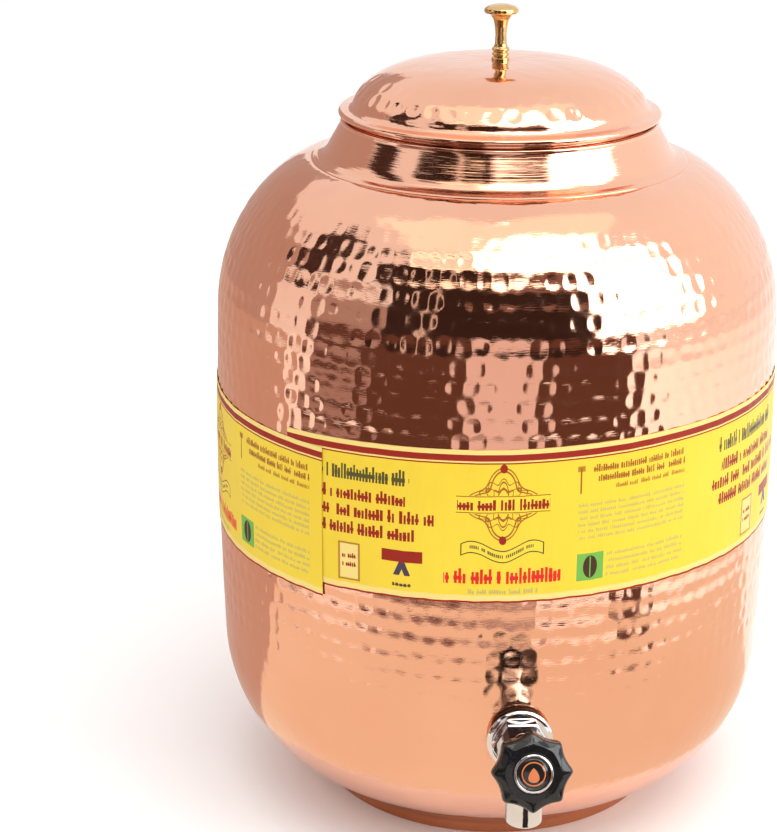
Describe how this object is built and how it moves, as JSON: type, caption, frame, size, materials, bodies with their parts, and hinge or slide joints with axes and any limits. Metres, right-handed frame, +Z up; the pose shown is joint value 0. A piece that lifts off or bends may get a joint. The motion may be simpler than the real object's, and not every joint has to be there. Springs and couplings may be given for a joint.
{
  "type": "copper water dispenser pot",
  "caption": "Hammered copper water pot with a lift-off domed lid, brass lid knob, paper band and a chrome screw-down tap with a lobed black handle.",
  "frame": {"origin": "centre of the foot ring, in the plane that it stands on", "axes": "+Z up along the pot's axis; the tap faces -Y"},
  "size_m": [0.2151, 0.2574, 0.3051],
  "materials": {
    "hammered_copper": "hammered and polished copper",
    "turned_copper": "spun and polished copper with turning lines",
    "dark_copper": "polished copper, darker foot",
    "brass": "turned and polished brass",
    "chrome": "chrome plate on brass",
    "black_plastic": "glossy moulded plastic",
    "rubber": "black rubber",
    "label_paper": "printed coated paper"
  },
  "bodies": {
    "pot": {"pot_bottom": "hammered_copper", "pot_wall": "hammered_copper", "pot_shoulder": "hammered_copper", "base_plate": "turned_copper", "foot_ring": "dark_copper", "neck_collar": "turned_copper", "label_band": "label_paper", "outer_gasket": "rubber", "wall_flange": "chrome", "tap_body": "chrome", "inner_gasket": "rubber", "back_washer": "brass", "back_nut": "brass", "bonnet": "chrome", "bonnet_seal": "rubber"},
    "lid": {"lid_dome": "hammered_copper", "lid_skirt": "turned_copper", "lid_knob": "brass", "knob_washer": "brass", "knob_nut": "brass"},
    "handle": {"spindle": "brass", "spindle_oring": "rubber", "spindle_clip": "chrome", "tap_handle": "black_plastic", "handle_ring": "chrome", "handle_screw": "brass", "handle_cap": "black_plastic"},
    "valve": {"valve_jumper": "brass", "valve_washer": "rubber"}
  },
  "joints": [
    {"name": "lid_lift", "type": "slide", "parent": "pot", "child": "lid", "axis": [0, 0, 1], "range_m": [0, 0.08]},
    {"name": "handle_turn", "type": "hinge", "parent": "pot", "child": "handle", "pos_m": [0, -0.1242, 0.0622], "axis": [0, -0.9397, 0.342], "range_deg": [0, 360]},
    {"name": "valve_slide", "type": "slide", "parent": "pot", "child": "valve", "axis": [0, -0.9397, 0.342], "range_m": [0, 0.0032]}
  ],
  "couplings": [
    {"joint": "valve_slide", "follows": "handle_turn", "m_per_rad": 0.00047746}
  ]
}
